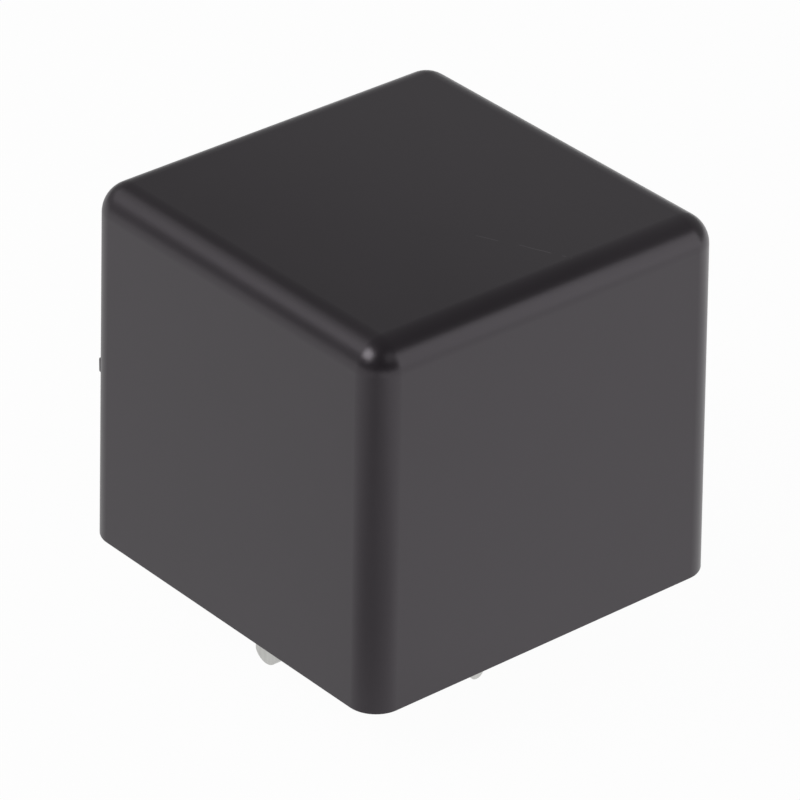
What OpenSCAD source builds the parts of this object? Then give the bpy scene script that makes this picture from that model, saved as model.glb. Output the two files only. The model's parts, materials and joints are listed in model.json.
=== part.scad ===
// Power relay for printed circuit boards: one change-over contact under a moulded five-sided cover.
// Millimetres, +Z up. The origin is the middle of the footprint on the seating plane, which is
// the underside of the base and the rim of the cover. The solder blades point down, and the
// armature is drawn released, with the moving contact against the normally closed contact.

/* [Cover] */
// Width of the cover at its rim, along X
cover_w = 28; // [27:0.1:34]
// Depth of the cover at its rim, along Y
cover_d = 27.8; // [27:0.1:34]
// Height of the cover above the seating plane
cover_h = 25; // [24:0.1:34]
// Radius of the upright and top edges
cover_edge_r = 2; // [1.5:0.1:3]
// Draft of each side wall in degrees
cover_draft = 0.7; // [0.3:0.1:1]
// Thickness of the side walls
cover_wall = 1.2; // [0.9:0.1:1.4]
// Thickness of the roof
cover_roof = 1.3; // [0.9:0.1:1.8]
// Width of the cut-off gate nib on the -X side, along Y
nib_w = 1.2; // [0.8:0.1:2]
// Height of the nib's end, along Z
nib_h = 1; // [0.6:0.1:1.6]
// How far the nib stands out of the wall
nib_out = 0.7; // [0.2:0.1:0.9]
// Height of the nib's middle above the seating plane
nib_z = 11.2; // [6:0.1:18]

/* [Base] */
// Thickness of the base plate
base_t = 3; // [2.8:0.1:3.6]
// Fit between the base and the inside of the cover
base_fit = 0.1; // [0.05:0.01:0.2]
// Chamfer round the underside of the base, which leaves a seam for the seal
base_seam = 0.5; // [0.3:0.1:0.8]
// Length of the latch bead on each of the two X sides
latch_l = 8; // [4:0.5:14]
// Radius of the latch bead
latch_r = 0.5; // [0.3:0.05:0.6]
// Depth of the sealing well round each blade
well_depth = 0.4; // [0.2:0.1:0.8]
// Border of the sealing well round each blade
well_border = 0.7; // [0.4:0.1:1]
// Height of the guide posts above the base plate
post_h = 6; // [3:0.5:9]
// Thickness of the guide posts beyond the plate edges
post_wall = 1; // [0.7:0.1:1.4]
// Clearance of a metal plate in its slot
slot_fit = 0.05; // [0.02:0.01:0.1]

/* [Blades] */
// Length of the solder blades below the seating plane
blade_l = 4.2; // [3:0.1:6]
// Width of the three load blades
load_w = 2; // [1.6:0.1:2.4]
// Sheet thickness of the load terminals
load_t = 0.8; // [0.6:0.05:1]
// Width of the two coil blades
coil_w = 1; // [0.8:0.1:1.2]
// Sheet thickness of the coil terminals
coil_t = 0.6; // [0.4:0.05:0.8]
// Distance between the two coil blades, along X
coil_span = 18.4; // [17.6:0.1:20]
// Inner radius of the bends in the load terminals
load_bend_r = 0.4; // [0.3:0.05:0.6]
// Chamfer of the corners of the common terminal's plate
plate_chamfer = 0.8; // [0.5:0.1:1.2]

/* [Magnet] */
// Sheet thickness of the yoke
yoke_t = 1.5; // [1.2:0.1:1.8]
// Width of the yoke
yoke_w = 11; // [10:0.2:12]
// Inner radius of the bend in the yoke
yoke_bend_r = 0.5; // [0.3:0.1:1]
// Share of the coil's radius that the core takes
core_share = 0.47; // [0.4:0.01:0.52]
// Diameter of the pole face
pole_d = 9.5; // [8.5:0.1:10.5]
// Thickness of the pole head
pole_t = 1; // [0.8:0.1:1.4]
// Diameter of the riveted tenon in the yoke
tenon_d = 5; // [4:0.1:5.4]
// Wall of the bobbin tube
bobbin_wall = 0.7; // [0.5:0.1:0.9]
// Thickness of the bobbin flanges
flange_t = 1; // [0.8:0.1:1.3]
// Chamfer of the corners of the bobbin flanges
flange_chamfer = 1; // [0.8:0.1:2]
// Edge of the flange beyond the winding
flange_edge = 0.5; // [0.3:0.1:0.9]
// Gap between the inside of the yoke's bend and the bobbin
bobbin_gap = 0.1; // [0.05:0.05:0.3]
// Radial clearance of the core in the bobbin, and of the winding on it
coil_fit = 0.05; // [0.02:0.01:0.1]
// Diameter of the coil's lead wire
lead_d = 0.3; // [0.2:0.05:0.4]
// Turns of the lead round each coil terminal
lead_turns = 3; // [2:1:5]

/* [Armature] */
// Thickness of the armature
armature_t = 1.4; // [1.2:0.1:1.6]
// Width of the armature over the yoke
armature_w = 11; // [10:0.2:12]
// Width of the armature's front edge
armature_front_w = 9; // [7:0.2:10]
// Length of the armature beyond the pole face
armature_reach = 1.4; // [0.8:0.1:1.6]
// Overhang of the armature behind the hinge line
armature_heel = 0.55; // [0.4:0.05:0.7]
// Swing between released and pulled in, in degrees
armature_swing = 3.2; // [2.6:0.1:3.6]
// Running gap at the hinge edge, the pole and the closed contacts
touch_gap = 0.03; // [0.02:0.01:0.05]

/* [Contact spring] */
// Thickness of the contact spring
spring_t = 0.25; // [0.15:0.01:0.3]
// Width of the spring at its bend
spring_w = 8; // [7:0.2:9]
// Width of the spring just behind the moving contact
spring_tip_w = 3; // [2.6:0.1:3.4]
// Width of each leg beside the window in the spring's bend
spring_leg = 2; // [1.6:0.1:2.4]
// Inner radius of the spring's bend
spring_bend_r = 0.8; // [0.6:0.05:1]
// Border of the spring round the moving contact
spring_border = 0.4; // [0.2:0.05:0.6]

/* [Contacts] */
// Diameter of the contact heads
contact_d = 3; // [2.4:0.1:3.4]
// Height of the moving contact's heads
moving_head_h = 0.68; // [0.5:0.02:0.8]
// Height of the fixed contacts' heads
fixed_head_h = 0.7; // [0.5:0.05:0.9]
// Radius of the contacts' domed faces
dome_r = 6; // [4:0.5:12]
// Diameter of the contact shanks
contact_shank_d = 1.6; // [1.2:0.1:1.8]
// Height of the riveted tails of the fixed contacts
tail_h = 0.45; // [0.3:0.05:0.6]
// Diameter of the riveted tails of the fixed contacts
tail_d = 2.1; // [2:0.1:2.6]

/* [Rivets] */
// Diameter of the rivet shanks
rivet_d = 1.6; // [1.2:0.1:1.8]
// Diameter of the rivet heads
rivet_head_d = 2.8; // [2.2:0.1:3]
// Height of the rivet heads
rivet_head_h = 0.5; // [0.3:0.05:0.6]
// Distance between the two rivets of a pair
rivet_pitch = 5; // [4:0.2:5.6]
// Radial clearance of a shank in its hole
rivet_fit = 0.03; // [0.02:0.01:0.06]
// Air left under a head that sits on a plate
seat_gap = 0.01; // [0.005:0.005:0.02]

/* [Layout] */
// Air between the cover's back wall and the yoke rivets
rear_room = 0.95; // [0.6:0.05:1.2]
// Air between the cover's front wall and the normally closed riser
front_room = 1.2; // [0.8:0.05:1.6]
// Air between the cover's roof and the top contact's tail
head_room = 1.1; // [0.6:0.05:1.6]
// From the normally closed riser back to the moving contact
riser_to_contact = 1.8; // [1.7:0.05:2.2]
// Air between the normally open contact's tail and the bend of its plate
tail_room = 0.1; // [0.05:0.05:0.4]
// Gap between the bobbin and the normally open plate
plate_gap = 0.6; // [0.5:0.05:0.9]
// Width of the plates that carry the normally open contact and the spring
plate_w = 5; // [4:0.2:5.6]
// Width of the normally closed strip
strip_w = 2.4; // [2:0.1:2.8]
// Distance from the middle plane to the middle of the strip
strip_x = 5; // [4.8:0.1:5.6]
// Plastic below the normally closed strip in the base
strip_z = 1.6; // [1.4:0.05:1.7]

/* [Hidden] */

// True curves take this number of sides, hulled corners fewer
$fn = 64;
corner_fn = 32;

// A cut reaches this far past the face that it opens
past = 1;

// Thickness of the discs that start a hulled block
disc_t = 0.01;

// Inside of the cover at the roof, where the draft leaves the least room
draft_in = cover_h * tan(cover_draft);
room_y = cover_d / 2 - cover_wall - draft_in;
roof_z = cover_h - cover_roof;
inner_edge_r = max(cover_edge_r - cover_wall, 0.3);

// Base plate
base_w = cover_w - 2 * (cover_wall + base_fit + base_t * tan(cover_draft));
base_d = cover_d - 2 * (cover_wall + base_fit + base_t * tan(cover_draft));
latch_z = base_t / 2;

// Rows of the mechanism from back to front
common_y = -(room_y - rear_room - rivet_head_h - spring_t - load_t / 2);
yoke_back_y = common_y + load_t / 2;
hinge_y = yoke_back_y + yoke_t / 2;
spring_back_y = common_y - load_t / 2 - spring_t;
riser_y = room_y - front_room - load_t / 2;
contact_y = riser_y - riser_to_contact;
open_y = contact_y - tail_d / 2 - tail_room - load_bend_r - load_t / 2;
flange_back_y = yoke_back_y + yoke_t + yoke_bend_r + bobbin_gap;
flange_front_y = open_y - load_t / 2 - plate_gap;
core_y = (flange_back_y + flange_front_y) / 2;
closed_y = (common_y + open_y) / 2;

// Armature in its own frame, which turns about the hinge
seat_h = yoke_t / 2 + touch_gap;
armature_top_h = seat_h + armature_t;
spring_top_h = armature_top_h + spring_t;
moving_top_h = spring_top_h + seat_gap + moving_head_h;
moving_low_h = armature_top_h - seat_gap - moving_head_h;
contact_reach = contact_y - hinge_y;
armature_front = core_y + pole_d / 2 + armature_reach - hinge_y;

// Levels from the roof down
closed_top_z = roof_z - head_room - tail_h - seat_gap;
closed_low_z = closed_top_z - load_t;
closed_face_z = closed_low_z - seat_gap - fixed_head_h;
hinge_z = closed_face_z - touch_gap - contact_reach * sin(armature_swing)
    - moving_top_h * cos(armature_swing);
closed_contact_y = hinge_y + contact_reach * cos(armature_swing)
    - moving_top_h * sin(armature_swing);
pole_z = hinge_z + yoke_t / 2;
open_face_z = hinge_z + moving_low_h - touch_gap;
open_shelf_z = open_face_z - fixed_head_h - seat_gap;

// Round ends of the load terminals at their contacts
eye_r = contact_d / 2 + spring_border / 2;

// Levels of the coil from the base up
foot_top_z = base_t + yoke_t;
winding_low_z = foot_top_z + flange_t;
flange_top_z = pole_z - pole_t;
winding_top_z = flange_top_z - flange_t;
flange_r = (flange_front_y - flange_back_y) / 2;
winding_r = flange_r - flange_edge;
core_r = core_share * flange_r;
tube_r = core_r + coil_fit + bobbin_wall;
post_top_z = winding_low_z + (lead_turns + 3) * lead_d;

// Rivet rows
yoke_rivet_z = (base_t + hinge_z) / 2;
rivet_row_reach = (core_y - pole_d / 2 - hinge_y) / 2;
common_top_z = yoke_rivet_z + rivet_head_d;
spring_foot_z = yoke_rivet_z - rivet_head_d;

// Middle of the spring's bend, which touches both the upright arm and the tilted one
bend_y = spring_back_y + spring_t + spring_bend_r;
bend_z = hinge_z + (armature_top_h - spring_bend_r + sin(armature_swing) * (bend_y - hinge_y))
    / cos(armature_swing);

// A quarter of a bent sheet, in the first quadrant, about the middle of the bend
module bend(inner_r, t) {
    intersection() {
        difference() {
            circle(inner_r + t);
            circle(inner_r);
        }
        square(2 * (inner_r + t));
    }
}

// A flat outline drawn in X and Z, standing with its back face at y0
module upright_plate(y0, t) {
    translate([0, y0 + t, 0])
        rotate([90, 0, 0])
            linear_extrude(t)
                children();
}

// A side view drawn in Y and Z, made w wide about x0
module side_profile(x0, w) {
    translate([x0 - w / 2, 0, 0])
        rotate([90, 0, 90])
            linear_extrude(w)
                children();
}

// Outline of a blade from its round tip up to z1
module blade_outline(w, z1) {
    tip_r = 0.56 * w;
    intersection() {
        translate([-w / 2, -blade_l])
            square([w, z1 + blade_l]);
        union() {
            translate([-w, tip_r - blade_l])
                square([2 * w, z1 + blade_l]);
            translate([0, tip_r - blade_l])
                circle(tip_r);
        }
    }
}

// A rectangle about the origin with its corners cut off
module cut_corner_plate(w, d, c) {
    polygon([[w / 2 - c, -d / 2], [w / 2, c - d / 2], [w / 2, d / 2 - c], [w / 2 - c, d / 2],
        [c - w / 2, d / 2], [-w / 2, d / 2 - c], [-w / 2, c - d / 2], [c - w / 2, -d / 2]]);
}

// A tongue from y0 forward, with its round end about y1
module tongue(r, y0, y1) {
    translate([-r, y0])
        square([2 * r, y1 - y0]);
    translate([0, y1])
        intersection() {
            circle(r);
            translate([-r, 0])
                square([2 * r, r]);
        }
}

// A straight rivet row about the middle plane
module rivet_pair() {
    for (side = [-1, 1])
        translate([side * rivet_pitch / 2, 0, 0])
            children();
}

// What turns with the armature, drawn from the hinge line in the pulled-in position
module armature_frame() {
    translate([0, hinge_y, hinge_z])
        rotate([armature_swing, 0, 0])
            children();
}

// A contact head on the plane z = 0 with a slightly domed face, growing upwards
module contact_head(h) {
    intersection() {
        cylinder(d = contact_d, h = h);
        translate([0, 0, h - dome_r])
            sphere(dome_r);
    }
}

// A drafted block with rounded upright and top edges, from the seating plane up
module drafted_block(w, d, h, r) {
    inset = r + (h - r) * tan(cover_draft);
    hull() {
        for (sx = [-1, 1], sy = [-1, 1]) {
            translate([sx * (w / 2 - r), sy * (d / 2 - r), 0])
                cylinder(r = r, h = disc_t, $fn = corner_fn);
            translate([sx * (w / 2 - inset), sy * (d / 2 - inset), h - r])
                rotate_extrude($fn = corner_fn)
                    intersection() {
                        circle(r);
                        square(r);
                    }
        }
    }
}

// The moulded cover: a drafted shell, open below, with latch grooves and the gate nib
module cover() {
    side_x = cover_w / 2 - nib_z * tan(cover_draft);
    nib_y = -(cover_d / 2 - nib_z * tan(cover_draft) - cover_edge_r);
    groove_x = base_w / 2;
    color([0.11, 0.11, 0.12]) {
        difference() {
            drafted_block(cover_w, cover_d, cover_h, cover_edge_r);
            translate([0, 0, -disc_t])
                drafted_block(cover_w - 2 * cover_wall, cover_d - 2 * cover_wall, roof_z + disc_t,
                    inner_edge_r);
            for (side = [-1, 1])
                translate([side * groove_x, (latch_l + 2 * base_fit) / 2, latch_z])
                    rotate([90, 0, 0])
                        cylinder(r = latch_r + base_fit, h = latch_l + 2 * base_fit);
        }
        translate([-side_x - nib_out, nib_y - nib_w / 2, nib_z - nib_h / 2])
            cube([nib_out + cover_wall / 2, nib_w, nib_h]);
    }
}

// Two posts on the base that hold the edges of an upright plate, chamfered at their outer tops
module guide_posts(x0, w, y0) {
    lip = 0.5;
    inner_x = w / 2 - lip;
    outer_x = w / 2 + post_wall;
    low_z = base_t - past;
    top_z = base_t + post_h;
    difference() {
        translate([x0, 0, 0])
            upright_plate(y0 - load_t / 2 - plate_gap / 2, load_t + plate_gap)
                for (side = [-1, 1])
                    polygon([[side * inner_x, low_z], [side * outer_x, low_z],
                        [side * outer_x, top_z - post_wall], [side * w / 2, top_z],
                        [side * inner_x, top_z]]);
        translate([x0 - w / 2 - slot_fit, y0 - load_t / 2 - slot_fit, base_t - 2 * past])
            cube([w + 2 * slot_fit, load_t + 2 * slot_fit, post_h + 3 * past]);
    }
}

// A slot right through the base for a blade, with its sealing well below
module blade_slot(x0, y0, w, d) {
    translate([x0 - w / 2 - slot_fit, y0 - d / 2 - slot_fit, -past])
        cube([w + 2 * slot_fit, d + 2 * slot_fit, base_t + 2 * past]);
    translate([x0 - w / 2 - well_border, y0 - d / 2 - well_border, -past])
        cube([w + 2 * well_border, d + 2 * well_border, well_depth + past]);
}

// Channel in the top of the base that the normally closed strip lies in
module strip_channel() {
    fit = 2 * slot_fit;
    start_y = closed_y - load_t / 2 - slot_fit;
    end_y = riser_y + load_t / 2 + slot_fit;
    left_x = -strip_x - strip_w / 2 - slot_fit;
    low_z = strip_z - slot_fit;
    bend_room = load_bend_r + slot_fit;
    translate([left_x, start_y, low_z])
        cube([load_w / 2 + slot_fit - left_x, load_t + load_bend_r + strip_w + fit, base_t]);
    translate([left_x, start_y, low_z])
        cube([strip_w + fit, end_y - start_y, base_t]);
    translate([-load_w / 2 - slot_fit, start_y, low_z - bend_room])
        cube([load_w + fit, load_t + load_bend_r + fit, base_t]);
}

// The base's plate: rounded like the inside of the cover, with a chamfer round its underside
module base_plate() {
    corner_x = base_w / 2 - inner_edge_r;
    corner_y = base_d / 2 - inner_edge_r;
    hull() {
        for (sx = [-1, 1], sy = [-1, 1]) {
            translate([sx * corner_x, sy * corner_y, base_seam])
                cylinder(r = inner_edge_r, h = base_t - base_seam, $fn = corner_fn);
            translate([sx * (corner_x - base_seam), sy * (corner_y - base_seam), 0])
                cylinder(r = inner_edge_r, h = disc_t, $fn = corner_fn);
        }
    }
}

// The moulded base: plate, blade slots, strip channel, guide posts, yoke ribs and latch beads
module base() {
    rib_x = yoke_w / 2 + slot_fit;
    color([0.13, 0.13, 0.14]) {
        difference() {
            union() {
                base_plate();
                for (side = [-1, 1])
                    translate([side * base_w / 2, latch_l / 2, latch_z])
                        rotate([90, 0, 0])
                            cylinder(r = latch_r, h = latch_l);
                for (side = [-1, 1])
                    translate([side * (rib_x + post_wall / 2) - post_wall / 2,
                        core_y - tenon_d / 2, base_t - past])
                        cube([post_wall, tenon_d, past + yoke_t - slot_fit]);
            }
            blade_slot(0, common_y, load_w, load_t);
            blade_slot(0, closed_y, load_w, load_t);
            blade_slot(0, open_y, load_w, load_t);
            for (side = [-1, 1])
                blade_slot(side * coil_span / 2, closed_y, coil_t, coil_w);
            strip_channel();
        }
        difference() {
            guide_posts(0, plate_w, open_y);
            blade_slot(0, open_y, load_w, load_t);
        }
        difference() {
            guide_posts(-strip_x, strip_w, riser_y);
            strip_channel();
        }
    }
}

// The bobbin: tube, two square flanges, and an ear on each side for a coil terminal
module bobbin() {
    ear_x = coil_span / 2 + coil_t / 2 + post_wall;
    ear_w = coil_w + 2 * post_wall;
    color([0.86, 0.84, 0.78])
        difference() {
            union() {
                translate([0, core_y, foot_top_z])
                    cylinder(r = tube_r, h = flange_top_z - foot_top_z);
                for (z = [foot_top_z, winding_top_z])
                    translate([0, core_y, z])
                        linear_extrude(flange_t)
                            cut_corner_plate(2 * flange_r, 2 * flange_r, flange_chamfer);
                translate([-ear_x, closed_y - ear_w / 2, foot_top_z])
                    cube([2 * ear_x, ear_w, flange_t]);
            }
            translate([0, core_y, foot_top_z - past])
                cylinder(r = core_r + coil_fit, h = flange_top_z - foot_top_z + 2 * past);
            for (side = [-1, 1])
                translate([side * coil_span / 2 - coil_t / 2 - slot_fit,
                    closed_y - coil_w / 2 - slot_fit, foot_top_z - past])
                    cube([coil_t + 2 * slot_fit, coil_w + 2 * slot_fit, flange_t + 2 * past]);
        }
}

// The enamelled copper winding between the flanges
module coil_winding() {
    winding_h = winding_top_z - winding_low_z - 2 * seat_gap;
    color([0.72, 0.38, 0.18])
        translate([0, core_y, winding_low_z + seat_gap])
            difference() {
                cylinder(r = winding_r, h = winding_h);
                translate([0, 0, -past])
                    cylinder(r = tube_r + coil_fit, h = winding_h + 2 * past);
            }
}

// A lead wire: a straight run from the winding and close turns round the terminal
module coil_lead(side) {
    turn_z = winding_low_z + lead_d;
    inner_x = coil_t + 2 * slot_fit;
    inner_y = coil_w + 2 * slot_fit;
    start_x = winding_r + coil_fit;
    end_x = coil_span / 2 - inner_x / 2 - lead_d / 2;
    color([0.75, 0.42, 0.2]) {
        translate([side * coil_span / 2, closed_y, turn_z])
            linear_extrude(lead_turns * lead_d)
                difference() {
                    square([inner_x + 2 * lead_d, inner_y + 2 * lead_d], center = true);
                    square([inner_x, inner_y], center = true);
                }
        translate([side * start_x, core_y, turn_z + lead_d / 2])
            rotate([0, side * 90, 0])
                cylinder(d = lead_d, h = end_x - start_x);
    }
}

module coil_lead_a() {
    coil_lead(-1);
}

module coil_lead_b() {
    coil_lead(1);
}

// The soft iron core: riveted tenon, shank and pole head
module core() {
    color([0.66, 0.67, 0.68])
        translate([0, core_y, 0]) {
            translate([0, 0, base_t])
                cylinder(d = tenon_d, h = yoke_t);
            translate([0, 0, foot_top_z])
                cylinder(r = core_r, h = flange_top_z - foot_top_z);
            translate([0, 0, flange_top_z])
                cylinder(d = pole_d, h = pole_t);
        }
}

// The bent yoke: foot under the coil, upright leg behind it, and a rounded hinge edge on top
module yoke() {
    bend_mid = yoke_bend_r + yoke_t;
    nose_r = 0.57 * yoke_t;
    foot_front_y = core_y + tenon_d / 2 + yoke_t;
    color([0.7, 0.7, 0.69])
        difference() {
            side_profile(0, yoke_w) {
                translate([yoke_back_y + bend_mid, base_t])
                    square([foot_front_y - yoke_back_y - bend_mid, yoke_t]);
                translate([yoke_back_y + bend_mid, base_t + bend_mid])
                    rotate(180)
                        bend(yoke_bend_r, yoke_t);
                intersection() {
                    translate([yoke_back_y, base_t + bend_mid])
                        square([yoke_t, pole_z - base_t - bend_mid]);
                    union() {
                        translate([yoke_back_y - past, base_t])
                            square([yoke_t + 2 * past, pole_z - nose_r - base_t]);
                        translate([hinge_y, pole_z - nose_r])
                            circle(nose_r);
                    }
                }
            }
            translate([0, core_y, base_t - past])
                cylinder(d = tenon_d + 2 * rivet_fit, h = yoke_t + 2 * past);
            rivet_pair()
                translate([0, hinge_y + yoke_t, yoke_rivet_z])
                    rotate([90, 0, 0])
                        cylinder(d = rivet_d + 2 * rivet_fit, h = 2 * yoke_t);
        }
}

// The hinged armature plate, narrower towards the pole, with two rivet holes
module armature() {
    shoulder = rivet_row_reach + rivet_head_d;
    corner = 0.8;
    front_x = armature_front_w / 2;
    color([0.68, 0.68, 0.67])
        armature_frame()
            translate([0, 0, seat_h])
                difference() {
                    linear_extrude(armature_t)
                        polygon([[-armature_w / 2, -armature_heel], [armature_w / 2, -armature_heel],
                            [armature_w / 2, shoulder], [front_x, armature_front - corner],
                            [front_x - corner, armature_front], [corner - front_x, armature_front],
                            [-front_x, armature_front - corner], [-armature_w / 2, shoulder]]);
                    rivet_pair()
                        translate([0, rivet_row_reach, -past])
                            cylinder(d = rivet_d + 2 * rivet_fit, h = armature_t + 2 * past);
                }
}

// Side view of the spring: upright arm, bend, and the arm along the armature
module spring_side() {
    outer_r = spring_bend_r + spring_t;
    tip = contact_reach + contact_d / 2 + spring_border;
    along = (bend_y - hinge_y) * cos(armature_swing) + (bend_z - hinge_z) * sin(armature_swing);
    lap = 0.1;
    translate([spring_back_y, spring_foot_z])
        square([spring_t, bend_z - spring_foot_z]);
    translate([bend_y, bend_z])
        intersection() {
            difference() {
                circle(outer_r);
                circle(spring_bend_r);
            }
            polygon([[0, 0], [-2 * outer_r, 0], [-2 * outer_r, 2 * outer_r],
                2 * outer_r * [-sin(armature_swing), cos(armature_swing)]]);
        }
    translate([hinge_y, hinge_z])
        rotate(armature_swing)
            translate([along - lap, armature_top_h])
                square([tip - along + lap, spring_t]);
}

// The contact spring: a bent leaf, cut to a tapering outline, with a window in its bend that
// leaves two legs, and with its rivet and contact holes
module contact_spring() {
    wide_y = hinge_y + rivet_row_reach + rivet_head_d;
    tip_y = hinge_y + contact_reach * cos(armature_swing);
    back_y = spring_back_y - past;
    tip_r = contact_d / 2 + spring_border;
    color([0.8, 0.55, 0.3])
        difference() {
            intersection() {
                side_profile(0, spring_w)
                    spring_side();
                linear_extrude(2 * cover_h) {
                    polygon([[-spring_w, back_y], [spring_w, back_y], [spring_w, wide_y],
                        [spring_w / 2, wide_y], [spring_tip_w / 2, tip_y], [-spring_tip_w / 2, tip_y],
                        [-spring_w / 2, wide_y], [-spring_w, wide_y]]);
                    translate([0, closed_contact_y])
                        circle(tip_r);
                }
            }
            translate([spring_leg - spring_w / 2, back_y, common_top_z])
                cube([spring_w - 2 * spring_leg, hinge_y - armature_heel - back_y, cover_h]);
            rivet_pair() {
                translate([0, hinge_y, yoke_rivet_z])
                    rotate([90, 0, 0])
                        cylinder(d = rivet_d + 2 * rivet_fit, h = 2 * yoke_t);
                armature_frame()
                    translate([0, rivet_row_reach, 0])
                        cylinder(d = rivet_d + 2 * rivet_fit, h = 2 * armature_top_h);
            }
            armature_frame()
                translate([0, contact_reach, 0])
                    cylinder(d = contact_shank_d + 2 * rivet_fit, h = 2 * armature_top_h);
        }
}

// Two rivets that fix the spring to the armature, flush underneath
module armature_rivets() {
    color([0.74, 0.74, 0.74])
        armature_frame()
            rivet_pair()
                translate([0, rivet_row_reach, 0]) {
                    translate([0, 0, seat_h])
                        cylinder(d = rivet_d, h = armature_t + spring_t + seat_gap);
                    translate([0, 0, spring_top_h + seat_gap])
                        cylinder(d = rivet_head_d, h = rivet_head_h);
                }
}

// Two rivets through the spring, the common terminal and the yoke
module yoke_rivets() {
    inner_y = yoke_back_y + yoke_t + seat_gap;
    grip = inner_y - spring_back_y + seat_gap;
    color([0.74, 0.74, 0.74])
        rivet_pair()
            translate([0, inner_y, yoke_rivet_z])
                rotate([90, 0, 0]) {
                    cylinder(d = rivet_d, h = grip);
                    translate([0, 0, -rivet_head_h])
                        cylinder(d = rivet_head_d, h = rivet_head_h);
                    translate([0, 0, grip])
                        cylinder(d = rivet_head_d, h = rivet_head_h);
                }
}

// The moving contact: a rivet with a domed head on both sides of the spring
module moving_contact() {
    color([0.82, 0.82, 0.8])
        armature_frame()
            translate([0, contact_reach, 0]) {
                translate([0, 0, armature_top_h - seat_gap])
                    cylinder(d = contact_shank_d, h = spring_t + 2 * seat_gap);
                translate([0, 0, spring_top_h + seat_gap])
                    contact_head(moving_head_h);
                translate([0, 0, armature_top_h - seat_gap])
                    mirror([0, 0, 1])
                        contact_head(moving_head_h);
            }
}

// A fixed contact: domed head on z = 0, shank through the plate below and a riveted tail
module fixed_contact() {
    grip = load_t + 2 * seat_gap;
    color([0.82, 0.82, 0.8]) {
        contact_head(fixed_head_h);
        translate([0, 0, -grip])
            cylinder(d = contact_shank_d, h = grip);
        translate([0, 0, -grip - tail_h])
            cylinder(d = tail_d, h = tail_h);
    }
}

module normally_open_contact() {
    translate([0, contact_y, open_shelf_z + seat_gap])
        fixed_contact();
}

module normally_closed_contact() {
    translate([0, closed_contact_y, closed_low_z - seat_gap])
        mirror([0, 0, 1])
            fixed_contact();
}

// The hole for a fixed contact's shank
module contact_hole(y0, z0) {
    translate([0, y0, z0 - past])
        cylinder(d = contact_shank_d + 2 * rivet_fit, h = load_t + 2 * past);
}

// The normally open terminal: blade, upright plate, and a tongue bent forward under the contact
module normally_open_terminal() {
    back_y = open_y - load_t / 2;
    outer_r = load_bend_r + load_t;
    color([0.78, 0.77, 0.74])
        difference() {
            union() {
                upright_plate(back_y, load_t)
                    blade_outline(load_w, base_t);
                side_profile(0, plate_w) {
                    translate([back_y, base_t])
                        square([load_t, open_shelf_z - outer_r - base_t]);
                    translate([back_y + outer_r, open_shelf_z - outer_r])
                        rotate(90)
                            bend(load_bend_r, load_t);
                }
                translate([0, 0, open_shelf_z - load_t])
                    linear_extrude(load_t)
                        tongue(eye_r, back_y + outer_r, contact_y);
            }
            contact_hole(contact_y, open_shelf_z - load_t);
        }
}

// The normally closed terminal: blade, strip along the base, riser, and a tongue over the contact
module normally_closed_terminal() {
    blade_back_y = closed_y - load_t / 2;
    outer_r = load_bend_r + load_t;
    run_y = blade_back_y + outer_r;
    riser_turn_y = riser_y + load_t / 2 - outer_r;
    color([0.78, 0.77, 0.74])
        difference() {
            union() {
                upright_plate(blade_back_y, load_t)
                    blade_outline(load_w, strip_z + load_t - outer_r);
                side_profile(0, load_w)
                    translate([run_y, strip_z + load_t - outer_r])
                        rotate(90)
                            bend(load_bend_r, load_t);
                translate([0, 0, strip_z])
                    linear_extrude(load_t) {
                        translate([-strip_x - strip_w / 2, run_y])
                            square([strip_x + strip_w / 2 + load_w / 2, strip_w]);
                        translate([-strip_x - strip_w / 2, run_y])
                            square([strip_w, riser_turn_y - run_y]);
                    }
                side_profile(-strip_x, strip_w) {
                    translate([riser_turn_y, strip_z + outer_r])
                        rotate(270)
                            bend(load_bend_r, load_t);
                    translate([riser_y - load_t / 2, strip_z + outer_r])
                        square([load_t, closed_top_z - strip_z - 2 * outer_r]);
                    translate([riser_turn_y, closed_top_z - outer_r])
                        bend(load_bend_r, load_t);
                }
                translate([0, 0, closed_low_z])
                    linear_extrude(load_t) {
                        translate([-strip_x - strip_w / 2, riser_turn_y - strip_w])
                            square([strip_x + strip_w / 2, strip_w]);
                        translate([0, closed_contact_y])
                            circle(eye_r);
                    }
            }
            contact_hole(closed_contact_y, closed_low_z);
        }
}

// The common terminal: blade below the base, wider plate with cut corners riveted to the yoke
module common_terminal() {
    color([0.78, 0.77, 0.74])
        difference() {
            upright_plate(common_y - load_t / 2, load_t) {
                blade_outline(load_w, base_t + load_t);
                translate([0, (base_t + common_top_z) / 2])
                    cut_corner_plate(spring_w, common_top_z - base_t, plate_chamfer);
            }
            rivet_pair()
                translate([0, hinge_y, yoke_rivet_z])
                    rotate([90, 0, 0])
                        cylinder(d = rivet_d + 2 * rivet_fit, h = 2 * yoke_t);
        }
}

// A coil terminal: a straight blade through the base and the bobbin's ear
module coil_terminal(side) {
    color([0.8, 0.79, 0.76])
        translate([side * coil_span / 2 - coil_t / 2, closed_y, 0])
            rotate([90, 0, 90])
                linear_extrude(coil_t)
                    blade_outline(coil_w, post_top_z);
}

module coil_terminal_a() {
    coil_terminal(-1);
}

module coil_terminal_b() {
    coil_terminal(1);
}

cover();
base();
bobbin();
coil_winding();
coil_lead_a();
coil_lead_b();
core();
yoke();
armature();
contact_spring();
armature_rivets();
yoke_rivets();
moving_contact();
normally_open_contact();
normally_closed_contact();
normally_open_terminal();
normally_closed_terminal();
common_terminal();
coil_terminal_a();
coil_terminal_b();
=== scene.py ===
# %% [markdown]
# A printed-circuit power relay, dressed for its picture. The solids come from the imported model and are
# already in their places, in metres, so this lesson only adds what a camera would notice: a moulded cover
# with soft edges, a real winding, a spring that can bend, a finish for every piece, and a small white
# studio.

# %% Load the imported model
import json
import math

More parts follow.
